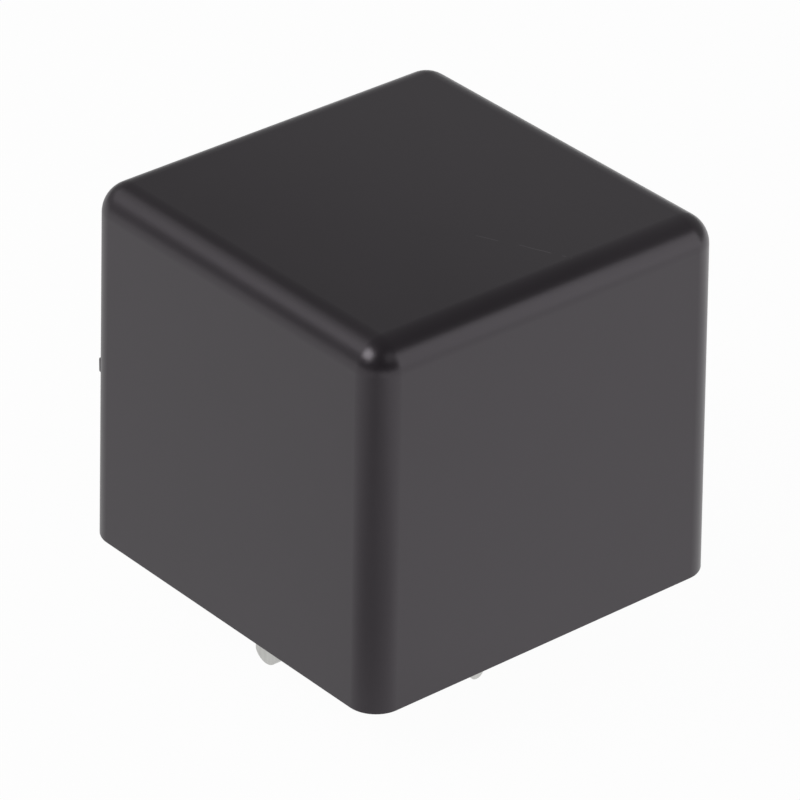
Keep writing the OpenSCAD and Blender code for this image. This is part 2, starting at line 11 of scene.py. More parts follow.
import bmesh
import bpy
from mathutils import Matrix, Vector


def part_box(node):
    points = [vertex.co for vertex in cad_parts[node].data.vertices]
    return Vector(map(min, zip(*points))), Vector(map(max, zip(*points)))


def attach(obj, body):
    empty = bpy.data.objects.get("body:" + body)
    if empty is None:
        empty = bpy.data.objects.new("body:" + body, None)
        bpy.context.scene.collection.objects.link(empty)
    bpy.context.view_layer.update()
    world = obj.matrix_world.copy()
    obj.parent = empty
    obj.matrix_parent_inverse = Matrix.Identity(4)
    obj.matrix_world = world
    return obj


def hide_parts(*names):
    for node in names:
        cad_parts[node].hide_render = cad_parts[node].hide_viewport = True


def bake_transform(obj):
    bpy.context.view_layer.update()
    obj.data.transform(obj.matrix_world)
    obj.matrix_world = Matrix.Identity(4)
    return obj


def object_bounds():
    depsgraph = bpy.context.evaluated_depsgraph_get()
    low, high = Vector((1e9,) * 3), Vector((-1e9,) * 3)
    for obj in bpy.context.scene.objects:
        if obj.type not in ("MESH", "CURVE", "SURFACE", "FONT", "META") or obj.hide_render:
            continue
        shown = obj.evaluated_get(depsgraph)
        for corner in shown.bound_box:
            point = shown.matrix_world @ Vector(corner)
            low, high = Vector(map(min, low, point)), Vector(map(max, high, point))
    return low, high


MM = 0.001


def in_mm(values):
    return [round(v / MM, 2) for v in values]


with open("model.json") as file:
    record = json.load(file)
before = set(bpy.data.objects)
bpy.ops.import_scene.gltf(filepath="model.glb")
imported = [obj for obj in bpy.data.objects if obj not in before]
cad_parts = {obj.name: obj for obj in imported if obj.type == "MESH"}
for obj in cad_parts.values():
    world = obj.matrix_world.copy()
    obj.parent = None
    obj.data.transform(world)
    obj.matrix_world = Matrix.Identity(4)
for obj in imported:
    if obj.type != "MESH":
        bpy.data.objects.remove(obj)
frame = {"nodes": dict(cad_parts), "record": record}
cad_box = [list(corner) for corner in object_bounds()]
print("CAD box in mm:", [in_mm(corner) for corner in cad_box])

# %% [markdown]
# The picture was taken with a long lens from the front right, a little above. A camera can be placed by
# eye, but its angles were worked out from the cover's edges, which a long lens keeps almost parallel, so
# that the render lies on the picture. Starting from a camera that looks along +Y, it is turned up, then
# round the object, and at last rolled by less than a degree.

# %% Camera
VIEW_AROUND, VIEW_ABOVE, VIEW_ROLL = 49.614, 30.501, 0.933
VIEW_PLACE = Vector((239.16, -203.572, 195.821)) * MM
LENS_MM, SENSOR_MM = 265.84, 36.0
lens = bpy.data.cameras.new("photo_lens")
lens.sensor_width = SENSOR_MM
lens.lens = LENS_MM
camera = bpy.data.objects.new("photo_camera", lens)
bpy.context.collection.objects.link(camera)
camera.matrix_world = (
    Matrix.Translation(VIEW_PLACE)
    @ Matrix.Rotation(math.radians(VIEW_AROUND), 4, "Z")
    @ Matrix.Rotation(math.radians(90 - VIEW_ABOVE), 4, "X")
    @ Matrix.Rotation(math.radians(VIEW_ROLL), 4, "Z")
)
bpy.context.scene.camera = camera
print("camera", round(VIEW_PLACE.length / MM), "mm from the seating face")

# %% [markdown]
# Every new piece needs the same two last steps. Its faces are shaded smooth, with a sharp edge wherever two
# faces meet at more than a limit, because moulded and drawn pieces have both. Then the bmesh becomes an
# object at the origin, is told which body it rides on, if it has one, and the solid it stands for is
# hidden.
# A few lines could repeat for each piece, but with two helpers no piece forgets a part.

# %% Helpers: shading, and from bmesh to a piece
def shade(bm, sharp_degrees):
    limit = math.radians(sharp_degrees)
    for face in bm.faces:
        face.smooth = True
    for edge in bm.edges:
        edge.smooth = not (len(edge.link_faces) == 2 and edge.calc_face_angle() > limit)


def place(bm, name, body, node):
    mesh = bpy.data.meshes.new(name)
    bm.to_mesh(mesh)
    bm.free()
    piece = bpy.data.objects.new(name, mesh)
    bpy.context.collection.objects.link(piece)
    if body:
        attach(piece, body)
    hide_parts(node)
    print(name, "has", len(mesh.polygons), "faces")
    return piece


# %% [markdown]
# The cover is an injection-moulded box, open below. Its walls lean in by 0.7 degrees so that it leaves the
# mould, and its upright and top edges are rounded to 2 mm, while the rim stays square. A subdivided cube
# would round every edge alike, so the box is drawn in at the top first, and a bevel then rounds just eight
# edges.

# %% Cover: drafted and rounded box
COVER_W, COVER_D, COVER_H = 28.0 * MM, 27.8 * MM, 25.0 * MM
EDGE_R, EDGE_STEPS = 2.0 * MM, 14
DRAFT = math.tan(math.radians(0.7))
FACES_DOWN = -0.9

cover = bmesh.new()
bmesh.ops.create_cube(cover, size=1.0)
bmesh.ops.translate(cover, verts=cover.verts, vec=(0, 0, 0.5))
bmesh.ops.scale(cover, verts=cover.verts, vec=(COVER_W, COVER_D, COVER_H))
top = [v for v in cover.verts if v.co.z > COVER_H / 2]
lean = COVER_H * DRAFT
bmesh.ops.scale(cover, verts=top, vec=(1 - 2 * lean / COVER_W, 1 - 2 * lean / COVER_D, 1))
open_side = [f for f in cover.faces if f.normal.z < FACES_DOWN]
bmesh.ops.delete(cover, geom=open_side, context="FACES_ONLY")
rounded = [e for e in cover.edges if max(v.co.z for v in e.verts) > COVER_H / 2]
bmesh.ops.bevel(
    cover, geom=rounded, offset=EDGE_R, affect="EDGES", segments=EDGE_STEPS, profile=0.5, material=-1,
)

# %% [markdown]
# The wall is 1.2 mm thick. A smaller box could be cut out, but Solidify gives the inner skin and closes the
# rim in one step. It works square to the leaning wall, so the inner rim comes out a hair too low and is
# flattened. A hairline bevel then takes the knife edge off the rim, a thin darker line in the picture.

# %% Cover: wall and rim
WALL, EDGE_BREAK, BREAK_STEPS = 1.2 * MM, 0.08 * MM, 2
ON_RIM = 0.01 * MM
bmesh.ops.recalc_face_normals(cover, faces=cover.faces)
bmesh.ops.solidify(cover, geom=cover.faces[:], thickness=WALL)
bmesh.ops.recalc_face_normals(cover, faces=cover.faces)
inner_rim = [v for v in cover.verts if v.co.z < 0]
bmesh.ops.scale(cover, verts=inner_rim, vec=(1, 1, 0))
rim = [
    e for e in cover.edges
    if all(abs(v.co.z) < ON_RIM for v in e.verts)
    and len({round(f.normal.z, 1) for f in e.link_faces}) > 1
]
bmesh.ops.bevel(
    cover, geom=rim, offset=EDGE_BREAK, affect="EDGES", segments=BREAK_STEPS, profile=0.5, material=-1,
)
print("cover wall:", len(rim), "rim edges broken")

# %% [markdown]
# Inside each side wall a shallow groove takes the latch bead of the base, and so holds the two together. A
# boolean could cut it. Here four planes cut the flat inner face round the groove and the part between them
# is pushed outwards, which leaves the rest of the moulding as it is. The cuts give the faces beside them
# extra points, so those are split into triangles.

# %% Cover: latch grooves
GROOVE_HALF_L, GROOVE_HALF_H, GROOVE_Z, GROOVE_DEEP = 4.1 * MM, 0.55 * MM, 1.5 * MM, 0.55 * MM
FACES_IN, NEAR_MIDDLE = 0.99, 0.2 * MM


def inner_wall(side):
    facing_in = [f for f in cover.faces if f.normal.x * side < -FACES_IN]
    return [f for f in facing_in if f.calc_center_median().x * side > 0]


for side in (-1, 1):
    for point, normal in (
        ((0, GROOVE_HALF_L, 0), (0, 1, 0)),
        ((0, -GROOVE_HALF_L, 0), (0, 1, 0)),
        ((0, 0, GROOVE_Z - GROOVE_HALF_H), (0, 0, 1)),
        ((0, 0, GROOVE_Z + GROOVE_HALF_H), (0, 0, 1)),
    ):
        wall = inner_wall(side)
        edges = dict.fromkeys(e for f in wall for e in f.edges)
        verts = dict.fromkeys(v for f in wall for v in f.verts)
        bmesh.ops.bisect_plane(cover, geom=[*wall, *edges, *verts], plane_co=point, plane_no=normal)
    middle = Vector((0, GROOVE_Z))
    groove = [f for f in inner_wall(side) if (f.calc_center_median().yz - middle).length < NEAR_MIDDLE]
    pushed = bmesh.ops.extrude_face_region(cover, geom=groove)["geom"]
    bottom = [g for g in pushed if isinstance(g, bmesh.types.BMVert)]
    bmesh.ops.translate(cover, verts=bottom, vec=(side * GROOVE_DEEP, 0, 0))
    bmesh.ops.delete(cover, geom=[f for f in groove if f.is_valid], context="FACES_ONLY")
many_sided = [f for f in cover.faces if len(f.verts) > 4]
bmesh.ops.triangulate(cover, faces=many_sided, ngon_method="BEAUTY")
print("two grooves", in_mm((2 * GROOVE_HALF_L, 2 * GROOVE_HALF_H, GROOVE_DEEP)), "mm")

# %% [markdown]
# On the far side wall stands the stub where the plastic was cut off at the mould's gate. It could be drawn
# out of the wall, but the wall is one large face there, so a small block that starts inside the wall keeps
# that face whole. A weighted-normal modifier then lets the large walls rule the shading, so that they look
# flat right up to the rounding.

# %% Cover: gate stub and shading
STUB_W, STUB_H, STUB_OUT, STUB_Z = 1.2 * MM, 1.0 * MM, 0.7 * MM, 11.2 * MM
MOULDED_SHARP, WALLS_RULE = 32, 100
stub_lean = STUB_Z * DRAFT
stub_deep = STUB_OUT + WALL / 2
stub_x = -(COVER_W / 2 - stub_lean) - STUB_OUT + stub_deep / 2
stub_y = -(COVER_D / 2 - stub_lean - EDGE_R)
stub = bmesh.ops.create_cube(cover, size=1.0)["verts"]
bmesh.ops.scale(cover, verts=stub, vec=(stub_deep, STUB_W, STUB_H))
bmesh.ops.translate(cover, verts=stub, vec=(stub_x, stub_y, STUB_Z))
stub_edges = [e for e in cover.edges if e.verts[0] in stub]
bmesh.ops.bevel(
    cover, geom=stub_edges, offset=EDGE_BREAK, affect="EDGES", segments=BREAK_STEPS, profile=0.5,
    material=-1,
)
shade(cover, MOULDED_SHARP)
cover_piece = place(cover, "moulded_cover", "housing", "cover")
weighted = cover_piece.modifiers.new("flat_walls", "WEIGHTED_NORMAL")
weighted.keep_sharp = True
weighted.weight = WALLS_RULE

# %% [markdown]
# The coil is one enamelled wire, wound in many layers on a nylon bobbin. Only its outer layer shows, and a
# bump map could fake its turns, but the outline would stay a plain tube. So the outer layer is the wire
# itself: a small ring of points is spun round the core while it climbs by one wire's thickness a turn.

# %% Coil winding
COIL_LOW, COIL_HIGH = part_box("coil_winding")
COIL_Y = (COIL_LOW.y + COIL_HIGH.y) / 2
COIL_R = (COIL_HIGH.x - COIL_LOW.x) / 2
WIRE, WIRE_SIDES, STEPS_A_TURN = 0.3 * MM, 8, 40


def wire_ring(bm, centre, axis):
    turned = Matrix.Translation(centre) @ Matrix.Rotation(math.pi / 2, 4, axis)
    bmesh.ops.create_circle(bm, cap_ends=False, radius=WIRE / 2, segments=WIRE_SIDES, matrix=turned)


turns = int((COIL_HIGH.z - COIL_LOW.z) / WIRE)
pitch = (COIL_HIGH.z - COIL_LOW.z - WIRE) / turns
winding = bmesh.new()
wire_ring(winding, (COIL_R - WIRE / 2, COIL_Y, COIL_LOW.z + WIRE / 2), "X")
bmesh.ops.spin(
    winding, geom=winding.verts[:] + winding.edges[:], cent=(0, COIL_Y, 0), axis=(0, 0, 1),
    dvec=(0, 0, pitch / STEPS_A_TURN), angle=2 * math.pi * turns, steps=turns * STEPS_A_TURN,
    use_merge=False,
)
bmesh.ops.holes_fill(winding, edges=winding.edges[:], sides=WIRE_SIDES)
print("outer layer:", turns, "turns, pitch", round(pitch / MM, 3), "mm")

# %% [markdown]
# The layers under it never show singly, so they are one drum: a rectangle beside the core, spun once round
# it. A tube could be cut from two cylinders, but a spin needs only the section. A full spin is merged, so
# that its two ends become one seam, and the normals are then recalculated, because a spin can turn a shape
# inside out.

# %% Coil drum
INNER_R, DRUM_STEPS = 4.1 * MM, 96
DRUM_R = COIL_R - 0.6 * WIRE
ROUND_SHARP = 60
corners = [
    winding.verts.new((r, COIL_Y, z))
    for r, z in (
        (INNER_R, COIL_LOW.z), (DRUM_R, COIL_LOW.z), (DRUM_R, COIL_HIGH.z), (INNER_R, COIL_HIGH.z),
    )
]
section = [winding.edges.new((corners[i - 1], corners[i])) for i in range(len(corners))]
bmesh.ops.spin(
    winding, geom=corners + section, cent=(0, COIL_Y, 0), axis=(0, 0, 1),
    angle=2 * math.pi, steps=DRUM_STEPS, use_merge=True,
)
bmesh.ops.recalc_face_normals(winding, faces=winding.faces)
shade(winding, ROUND_SHARP)
coil_piece = place(winding, "wound_coil", "housing", "coil_winding")

# %% [markdown]
# The two ends of the coil's wire run across the bobbin's ears and are wrapped three times round the coil
# terminals, where they are soldered. A curve with a bevel could follow that path, but it is the same round
# wire, so the same way makes it: a ring of points is spun up round the terminal for the wraps, and its
# other end is extruded in short steps, a little slack, back to the coil.

# %% Coil leads
WRAPS, STEPS_A_WRAP, RUN_STEPS = 3, 24, 6
WRAP_RISE, WRAP_GAP, RUN_SAG = 1.04 * WIRE, 0.02 * MM, 0.12 * MM
lead_pieces = {}
for end, side in (("a", -1), ("b", 1)):
    post_low, post_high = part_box("coil_terminal_" + end)
    post, half_post = (post_low + post_high) / 2, (post_high - post_low) / 2
    wrap_r = math.hypot(half_post.x, half_post.y) + WRAP_GAP + WIRE / 2
    lead_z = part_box("coil_lead_" + end)[0].z + WIRE / 2
    wire = bmesh.new()
    wire_ring(wire, (post.x, post.y + wrap_r, lead_z), "Y")
    loop = wire.edges[:]
    bmesh.ops.spin(
        wire, geom=wire.verts[:] + loop, cent=post, axis=(0, 0, -side),
        dvec=(0, 0, WRAP_RISE / STEPS_A_WRAP), angle=2 * math.pi * WRAPS, steps=WRAPS * STEPS_A_WRAP,
        use_merge=False,
    )
    run = abs(post.x) - COIL_R + WIRE / 2
    for step in range(RUN_STEPS):
        grown = bmesh.ops.extrude_edge_only(wire, edges=loop)["geom"]
        loop = [g for g in grown if isinstance(g, bmesh.types.BMEdge) and len(g.link_faces) == 1]
        tip = list(dict.fromkeys(v for e in loop for v in e.verts))
        drop = math.cos(math.pi * (step + 0.5) / RUN_STEPS) * RUN_SAG * math.pi / RUN_STEPS
        bmesh.ops.translate(wire, verts=tip, vec=(-side * run / RUN_STEPS, 0, drop))
    bmesh.ops.holes_fill(wire, edges=wire.edges[:], sides=WIRE_SIDES)
    bmesh.ops.recalc_face_normals(wire, faces=wire.faces)
    shade(wire, ROUND_SHARP)
    node = "coil_lead_" + end
    lead_pieces[node] = place(wire, "wrapped_lead_" + end, "housing", node)

# %% [markdown]
# The contact spring is a bent strip of bronze, with a window in its bend that leaves two legs. Its foot is
# riveted to the yoke and its long arm to the armature, so when the armature swings, the legs bend. A stiff
# copy would tear off one of them. The solid has the right shape, so a copy of its mesh is taken and merged,
# and is cut across the legs many times, because a mesh can only bend where it has points.

# %% Contact spring
BEND_LOW, BEND_HIGH, BEND_CUTS = 12.8 * MM, 17.8 * MM, 14
SAME_POINT, SHEET_SHARP = 0.0005 * MM, 32
spring = bmesh.new()
spring.from_mesh(frame["nodes"]["contact_spring"].data)
bmesh.ops.remove_doubles(spring, verts=spring.verts, dist=SAME_POINT)
for step in range(BEND_CUTS + 1):
    height = BEND_LOW + (BEND_HIGH - BEND_LOW) * step / BEND_CUTS
    everything = spring.verts[:] + spring.edges[:] + spring.faces[:]
    bmesh.ops.bisect_plane(spring, geom=everything, plane_co=(0, 0, height), plane_no=(0, 0, 1))
shade(spring, SHEET_SHARP)
spring_piece = place(spring, "bent_contact_spring", None, "contact_spring")
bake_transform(spring_piece)

# %% [markdown]
# Finishes come next. Colours are written as the hex values a colour picker shows, and the shader wants
# linear light, so one function converts them. Pattern sizes are written in millimetres, and a texture wants
# repeats a metre. Nodes could be added one by one, but a single helper adds any node with its settings and
# links.

# %% Helpers: colour, pattern size and one node
def linear(code):
    parts = [int(code[i:i + 2], 16) / 255 for i in (1, 3, 5)]
    return tuple(p / 12.92 if p < 0.04045 else ((p + 0.055) / 1.055) ** 2.4 for p in parts) + (1.0,)


def repeats(size_mm):
    return 1 / (size_mm * MM)


def add(tree, kind, inputs=(), **settings):
    node = tree.nodes.new(kind)
    for name, value in settings.items():
        setattr(node, name, value)
    for name, value in dict(inputs).items():
        if isinstance(value, bpy.types.NodeSocket):
            tree.links.new(value, node.inputs[name])
        else:
            node.inputs[name].default_value = value
    return node


# A Mix node keeps sockets for several kinds of data; these are the places of its colour sockets.
TONE_A, TONE_B, TONE_OUT = 6, 7, 2


def start_finish(name):
    material = bpy.data.materials.new(name)
    material.use_nodes = True
    tree = material.node_tree
    tree.nodes.clear()
    coords = add(tree, "ShaderNodeTexCoord").outputs["Object"]
    return material, tree, coords


def close_finish(tree, sockets):
    shader = add(tree, "ShaderNodeBsdfPrincipled", sockets)
    add(tree, "ShaderNodeOutputMaterial", {"Surface": shader.outputs[0]})


print("middle grey #808080 is", round(linear("#808080")[0], 3), "in linear light")

# %% [markdown]
# The cover is black PBT, moulded against a finely blasted steel tool, which gives a deep black with a satin
# gloss. One flat black would look like paint. The blasted grain is about 0.1 mm, too fine to show here, so
# it is drawn at 0.25 mm. Slow clouds of 7 mm in the tone and the gloss stand for handling.

# %% Black PBT: grain and clouds
GRAIN_MM, CLOUD_MM = 0.25, 7.0
PBT_DEEP, PBT_WORN, PBT_SCRATCHED = linear("#1d191d"), linear("#282328"), linear("#4c4a4c")
pbt, tree, coords = start_finish("black_moulded_pbt")
grain = add(tree, "ShaderNodeTexNoise", {"Vector": coords, "Scale": repeats(GRAIN_MM), "Detail": 2.0})
cloud = add(tree, "ShaderNodeTexNoise", {"Vector": coords, "Scale": repeats(CLOUD_MM), "Detail": 3.0})
black = add(tree, "ShaderNodeMix", {
    0: cloud.outputs["Fac"], TONE_A: PBT_DEEP, TONE_B: PBT_WORN,
}, data_type="RGBA")
print("grain", round(repeats(GRAIN_MM)), "and clouds", round(repeats(CLOUD_MM)), "repeats a metre")

# %% [markdown]
# One hairline scratch crosses the top. A thin strip of mesh could stand for it, but a scratch has no height
# to speak of, so the material draws it: a mapping lays an X axis along it, a slow noise lets it wander from
# that axis, and a second noise breaks it up. The four masks are multiplied, and so leave only the line.

# %% Black PBT: hairline scratch
SCRATCH_FROM, SCRATCH_TO = Vector((6.25, 0.3)) * MM, Vector((11.9, 3.0)) * MM
SCRATCH_W, SCRATCH_WANDER, TOP_SKIN = 0.055 * MM, 0.3 * MM, 0.1 * MM
WANDER_MM, GAP_MM, GAP_LEVEL = 2.0, 0.8, 0.42
scratch = SCRATCH_TO - SCRATCH_FROM
along = add(tree, "ShaderNodeMapping", {
    "Vector": coords, "Location": (*SCRATCH_FROM, 0), "Rotation": (0, 0, math.atan2(scratch.y, scratch.x)),
}, vector_type="TEXTURE").outputs[0]
spot = add(tree, "ShaderNodeSeparateXYZ", {0: along}).outputs
wander = add(tree, "ShaderNodeTexNoise", {"Vector": along, "Scale": repeats(WANDER_MM), "Detail": 1.0})
drift = add(tree, "ShaderNodeMath", {
    0: wander.outputs["Fac"], 1: SCRATCH_WANDER, 2: -SCRATCH_WANDER / 2,
}, operation="MULTIPLY_ADD").outputs[0]
gaps = add(tree, "ShaderNodeTexNoise", {"Vector": coords, "Scale": repeats(GAP_MM), "Detail": 1.0})
half = scratch.length / 2
line = add(tree, "ShaderNodeMath", {0: spot[1], 1: drift, 2: SCRATCH_W / 2}, operation="COMPARE")
for mask in (
    add(tree, "ShaderNodeMath", {0: spot[0], 1: half, 2: half}, operation="COMPARE"),
    add(tree, "ShaderNodeMath", {0: spot[2], 1: COVER_H - TOP_SKIN}, operation="GREATER_THAN"),
    add(tree, "ShaderNodeMath", {0: gaps.outputs["Fac"], 1: GAP_LEVEL}, operation="GREATER_THAN"),
):
    line = add(tree, "ShaderNodeMath", {0: line.outputs[0], 1: mask.outputs[0]}, operation="MULTIPLY")
black = add(tree, "ShaderNodeMix", {
    0: line.outputs[0], TONE_A: black.outputs[TONE_OUT], TONE_B: PBT_SCRATCHED,
}, data_type="RGBA")
print("scratch", round(scratch.length / MM, 1), "mm long")

# %% [markdown]
# The satin gloss mirrors the white table as soft grey, with a faint violet in it. PBT bends light by about
# 1.55; here 1.64 gives the side faces the picture's grey. A coat could add that shine too, but the plastic
# has none: it is one surface, so its own index, gloss and tint carry it.

# %% Black PBT: gloss
GLOSS_CLEAN, GLOSS_WORN, PBT_IOR = 0.29, 0.35, 1.64
GRAIN_DEEP, GRAIN_SHOWN = 0.003 * MM, 0.35
VIOLET = linear("#fef6ff")
gloss = add(tree, "ShaderNodeMapRange", {
    "Value": cloud.outputs["Fac"], "To Min": GLOSS_CLEAN, "To Max": GLOSS_WORN,
})
relief = add(tree, "ShaderNodeBump", {
    "Height": grain.outputs["Fac"], "Strength": GRAIN_SHOWN, "Distance": GRAIN_DEEP,
})
close_finish(tree, {
    "Base Color": black.outputs[TONE_OUT], "Roughness": gloss.outputs["Result"], "IOR": PBT_IOR,
    "Normal": relief.outputs[0], "Specular Tint": VIOLET,
})
print("cover finish has", len(tree.nodes), "nodes")

# %% [markdown]
# The other finishes differ in colour, gloss and the marks of how they were made. Each could have nodes of
# its own, but they are built alike: two close tones and a range of roughness follow one noise, which is
# stretched along the direction in which a strip was rolled, and the same noise lifts the surface by a few
# micrometres. So one recipe takes those facts as arguments.

# %% Recipe for a worked surface
MARKS_LOW, MARKS_HIGH, MARKS_SHOWN = 0.3, 0.7, 0.5


def worked_surface(name, tones, roughness, grain_mm, depth_mm, shader):
    material, tree, coords = start_finish(name)
    scale = tuple(repeats(size) for size in grain_mm)
    stretched = add(tree, "ShaderNodeMapping", {"Vector": coords, "Scale": scale})
    marks = add(tree, "ShaderNodeTexNoise", {"Vector": stretched.outputs[0], "Scale": 1.0, "Detail": 4.0})
    shown = add(tree, "ShaderNodeMapRange", {
        "Value": marks.outputs["Fac"], "From Min": MARKS_LOW, "From Max": MARKS_HIGH,
    })
    tone = add(tree, "ShaderNodeMix", {
        0: shown.outputs[0], TONE_A: linear(tones[0]), TONE_B: linear(tones[1]),
    }, data_type="RGBA")
    gloss = add(tree, "ShaderNodeMapRange", {
        "Value": shown.outputs[0], "To Min": roughness[0], "To Max": roughness[1],
    })
    relief = add(tree, "ShaderNodeBump", {
        "Height": marks.outputs["Fac"], "Strength": MARKS_SHOWN, "Distance": depth_mm * MM,
    })
    close_finish(tree, {
        "Base Color": tone.outputs[TONE_OUT], "Roughness": gloss.outputs[0],
        "Normal": relief.outputs[0], **shader,
    })
    print(name, "made")
    return material


# %% [markdown]
# The plastics: the base is the same black PBT, but filled with glass fibre and moulded in a duller tool,
# and the bobbin is natural nylon with glass fibre, a warm off-white. A plain colour would hide the fibres,
# which show as fine flecks, drawn at 0.4 mm.

# %% Finishes: base and bobbin
PLASTIC = {"Metallic": 0.0, "IOR": 1.53}
FLECKS = (0.4, 0.4, 0.4)
finishes = {
    "cover_plastic": pbt,
    "base_plastic": worked_surface(
        "black_glass_filled_pbt", ("#1c1c1d", "#242425"), (0.42, 0.56), FLECKS, 0.006, PLASTIC),
    "bobbin_nylon": worked_surface(
        "natural_glass_filled_nylon", ("#cfc7b2", "#ddd6c4"), (0.38, 0.5), FLECKS, 0.006, PLASTIC),
}

# %% [markdown]
# The metals: soft iron with a thin bright nickel, steel with satin zinc, rolled spring bronze with lines
# along the strip, tumbled rivets, dull silver alloy at the contacts, and copper under hot-dipped tin, which
# is pale and a bit soft in its gloss. The winding is copper seen through clear orange enamel. An orange
# paint would lose the metal's gleam, so it has a coat over the metal.

# %% Finishes: metals
METAL = {"Metallic": 1.0}
ENAMEL = {"Metallic": 1.0, "Coat Weight": 0.6, "Coat Roughness": 0.12, "Coat IOR": 1.55}
finishes.update({
    "enamelled_copper": worked_surface(
        "enamelled_copper_wire", ("#a44f26", "#bb6a38"), (0.26, 0.36), (0.5, 0.5, 0.5), 0.002, ENAMEL),
    "soft_iron": worked_surface(
        "nickel_plated_soft_iron", ("#a9a69f", "#bcb9b2"), (0.28, 0.4), (0.3, 0.3, 1.2), 0.004, METAL),
    "plated_steel": worked_surface(
        "zinc_plated_steel", ("#a4a8ac", "#b9bdc0"), (0.32, 0.46), (0.25, 1.4, 0.5), 0.004, METAL),
    "spring_bronze": worked_surface(
        "rolled_spring_bronze", ("#b07d45", "#c39257"), (0.24, 0.36), (0.12, 2.0, 2.0), 0.003, METAL),
    "rivet_steel": worked_surface(
        "tumbled_rivet_steel", ("#8f9092", "#a6a7a8"), (0.3, 0.42), (0.3, 0.3, 0.3), 0.004, METAL),
    "contact_silver": worked_surface(
        "silver_contact_alloy", ("#c9c5bd", "#d9d6cf"), (0.34, 0.46), (0.2, 0.2, 0.2), 0.003, METAL),
    "tinned_copper": worked_surface(
        "tinned_copper_blade", ("#cbcbc8", "#dadad7"), (0.3, 0.42), (0.2, 0.2, 1.5), 0.004, METAL),
})

# %% [markdown]
# Each solid and each new piece now takes the finish of its slot. It could be written out piece by piece,
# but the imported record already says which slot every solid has.

# %% Put the finishes on
slot_of = {row["node"]: row["material_slot"] for row in frame["record"]["subparts"]}
new_pieces = {
    "cover": cover_piece, "coil_winding": coil_piece, "contact_spring": spring_piece, **lead_pieces,
}
for node, solid in frame["nodes"].items():
    for wearer in {solid, new_pieces.get(node, solid)}:
        wearer.data.materials.clear()
        wearer.data.materials.append(finishes[slot_of[node]])
print(len(slot_of), "solids wear", len(finishes), "finishes")

# %% [markdown]
# The floor is a large sheet of white card at the blades' tips. A plane from the editor's menu would do;
# here a grid of one cell is moved down to the lowest point of the solids, so that the relay stands on it.

# %% White floor: the sheet
FLOOR_HALF = 2.5
floor = bmesh.new()
bmesh.ops.create_grid(floor, x_segments=1, y_segments=1, size=FLOOR_HALF)
bmesh.ops.translate(floor, verts=floor.verts, vec=(0, 0, cad_box[0][2]))
floor_mesh = bpy.data.meshes.new("white_floor")
floor.to_mesh(floor_mesh)
floor.free()
floor_sheet = bpy.data.objects.new("white_floor", floor_mesh)
bpy.context.collection.objects.link(floor_sheet)
print("floor at", round(cad_box[0][2] / MM, 2), "mm")

# %% [markdown]
# Black gloss mirrors the table, so the card's brightness shows in the side faces, and one even white would
# make them look flat. A little less light falls on the card's left, and a strip of it in front lies in the
# shade of the camera's stand: that is the dark band down the cover's front edge. Dark boards on the table
# could cast that shade, but they would show, so both shades are painted into the card's glow, for the gloss
# alone. Dot products with directions along the floor tell how far a spot lies to the right, to the front,
# and beside the strip.

# %% White floor: painted shade for the gloss
TO_RIGHT, TO_FRONT, BESIDE = (0.766, 0.643, 0), (0.629, -0.777, 0), (0.777, 0.629, 0)
RIGHT_END, LEFT_PAINTED_SHADE_LEVEL, STRIP_PAINTED_SHADOW = 15 * MM, 0.785, 0.36
# Where the painted shadow is none and where it is full, in mm: to the front, from its left, from its right
STRIP_FRONT, STRIP_LEFT, STRIP_RIGHT = (20, 34), (-36, -12), (36, 22)

card, tree, coords = start_finish("white_floor_card_painted_shade")
right, front, beside = [
    add(tree, "ShaderNodeVectorMath", {0: coords, 1: way}, operation="DOT_PRODUCT").outputs["Value"]
    for way in (TO_RIGHT, TO_FRONT, BESIDE)
]
# Painted shade: the glow is lower on the card's left, where less light falls.
left_painted_shade = add(tree, "ShaderNodeMapRange", {"Value": right, "From Max": RIGHT_END, "To Min": LEFT_PAINTED_SHADE_LEVEL})
# Painted shadow of the camera's stand: a strip in front, growing towards the front and fading at its sides.
painted_shadow_fades = [
    add(tree, "ShaderNodeMapRange", {
        "Value": reach, "From Min": none_at * MM, "From Max": full_at * MM,
    }).outputs[0]
    for reach, (none_at, full_at) in ((front, STRIP_FRONT), (beside, STRIP_LEFT), (beside, STRIP_RIGHT))
]
strip = add(tree, "ShaderNodeMath", {0: painted_shadow_fades[0], 1: painted_shadow_fades[1]}, operation="MULTIPLY")
strip = add(tree, "ShaderNodeMath", {0: strip.outputs[0], 1: painted_shadow_fades[2]}, operation="MULTIPLY")
# In the stand's painted shadow the glow drops by up to 0.36.
stand_painted_shadow_level = add(tree, "ShaderNodeMath", {
    0: strip.outputs[0], 1: -STRIP_PAINTED_SHADOW, 2: 1.0,
}, operation="MULTIPLY_ADD")
painted_shade_level = add(tree, "ShaderNodeMath", {0: left_painted_shade.outputs[0], 1: stand_painted_shadow_level.outputs[0]}, operation="MULTIPLY")
print("card at", LEFT_PAINTED_SHADE_LEVEL, "on the left and", round(1 - STRIP_PAINTED_SHADOW, 2), "in the strip")

# %% [markdown]
# Under soft light real card comes out grey, and more light would spoil the relay. So for the eye most of
# the card is a plain white glow, and for what shines or lets light through the same glow carries the
# painted shade of the card's left and the painted shadow of the camera's stand. The rest is lit card, which
# keeps the relay's soft shadow. From below, the sheet lets the view through.

# %% White floor: its card
CARD_PLAIN, CARD_LIT, WHITE = 0.97, linear("#f2f2f0"), linear("#ffffff")
path = add(tree, "ShaderNodeLightPath").outputs
seen = path["Is Camera Ray"]
for kind in ("Is Glossy Ray", "Is Transmission Ray"):
    seen = add(tree, "ShaderNodeMath", {0: seen, 1: path[kind]}, operation="MAXIMUM").outputs[0]
plain = add(tree, "ShaderNodeMath", {0: seen, 1: CARD_PLAIN}, operation="MULTIPLY")
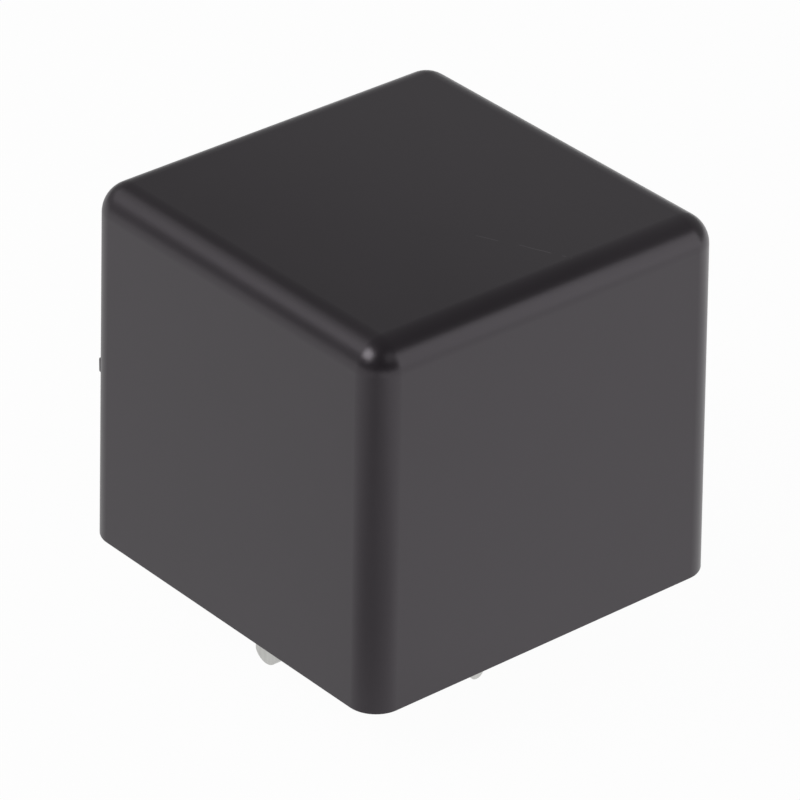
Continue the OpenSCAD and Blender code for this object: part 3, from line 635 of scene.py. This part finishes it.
# For the eye the glow is plain white; for what shines it carries the painted shade and shadow.
painted_shade_strength = add(tree, "ShaderNodeMath", {0: painted_shade_level.outputs[0], 1: path["Is Camera Ray"]}, operation="MAXIMUM")
lit = add(tree, "ShaderNodeBsdfDiffuse", {"Color": CARD_LIT})
white = add(tree, "ShaderNodeEmission", {"Color": WHITE, "Strength": painted_shade_strength.outputs[0]})
sheet = add(tree, "ShaderNodeMixShader", {0: plain.outputs[0], 1: lit.outputs[0], 2: white.outputs[0]})
below = add(tree, "ShaderNodeNewGeometry").outputs["Backfacing"]
clear = add(tree, "ShaderNodeBsdfTransparent")
sheet = add(tree, "ShaderNodeMixShader", {0: below, 1: sheet.outputs[0], 2: clear.outputs[0]})
add(tree, "ShaderNodeOutputMaterial", {"Surface": sheet.outputs[0]})
floor_mesh.materials.append(card)
print("floor card has", len(tree.nodes), "nodes")

# %% [markdown]
# Black gloss shows its lights as shapes, so one big lamp overhead would leave the cover dead. The lamps are
# placed where the picture's highlights mirror them: a bright softbox front left, a wide weak panel and a
# pale wall to the left, a card at the back right, a faint panel front right, and a weak low card close
# behind the relay, which makes the top paler towards the right. Each has a direction, a size and the
# brightness of its surface, which give its power.

# %% Lamps
LAMP_AWAY, CARD_AWAY = 0.55, 0.035
LAMP_AIM = Vector((0, 0, COVER_H / 2))


def softbox(name, around, above, width, height, bright, distance=LAMP_AWAY):
    lamp = bpy.data.lights.new(name, "AREA")
    lamp.shape = "RECTANGLE"
    lamp.size, lamp.size_y = width, height
    lamp.energy = bright * math.pi * width * height
    holder = bpy.data.objects.new(name, lamp)
    bpy.context.collection.objects.link(holder)
    a, e = math.radians(around), math.radians(above)
    away = Vector((math.cos(a) * math.cos(e), math.sin(a) * math.cos(e), math.sin(e)))
    holder.location = LAMP_AIM + away * distance
    holder.rotation_euler = away.to_track_quat("Z", "Y").to_euler()
    holder.visible_camera = False
    print(name, round(lamp.energy, 4), "W")


# Name, degrees round from +X, degrees above the floor, width, height, brightness
softbox("key_softbox", -104, 43, 0.32, 0.26, 4.6)
softbox("left_panel", -153, 37, 0.38, 0.24, 0.72)
softbox("left_wall", -140, 10, 0.45, 0.22, 0.16)
softbox("right_card", 38, 19, 0.27, 0.39, 1.25)
softbox("right_front_panel", 0, 42, 0.3, 0.26, 0.5)
softbox("close_card", 90, 23, 0.12, 0.047, 0.1, CARD_AWAY)

# %% [markdown]
# Round the table the room is dim: a little brighter behind the relay, darker towards the camera and
# overhead. The top of the cover mirrors that room, which is why it is darker than the sides. Walls could be
# built, but a slope in the world's light gives the same. Where the camera itself looks past the floor, it
# sees plain white.

# %% Room
BEHIND, FACING_FRONT, FACING_BEHIND = Vector((-0.66, 0.56, -0.1)), -0.7, 0.8
ROOM_DARK, ROOM_PALE = 0.078, 0.27
world = bpy.data.worlds.new("dim_room")
bpy.context.scene.world = world
world.use_nodes = True
tree = world.node_tree
tree.nodes.clear()
direction = add(tree, "ShaderNodeTexCoord").outputs["Generated"]
facing = add(tree, "ShaderNodeVectorMath", {0: direction, 1: BEHIND}, operation="DOT_PRODUCT")
room = add(tree, "ShaderNodeMapRange", {
    "Value": facing.outputs["Value"], "From Min": FACING_FRONT, "From Max": FACING_BEHIND,
    "To Min": ROOM_DARK, "To Max": ROOM_PALE,
})
dim = add(tree, "ShaderNodeBackground", {"Color": WHITE, "Strength": room.outputs[0]})
plain = add(tree, "ShaderNodeBackground", {"Color": WHITE, "Strength": 1.0})
ray = add(tree, "ShaderNodeLightPath").outputs["Is Camera Ray"]
shown = add(tree, "ShaderNodeMixShader", {0: ray, 1: dim.outputs[0], 2: plain.outputs[0]})
add(tree, "ShaderNodeOutputWorld", {"Surface": shown.outputs[0]})
bpy.context.scene.view_settings.view_transform = "Standard"
print("room from", ROOM_DARK, "to", ROOM_PALE)
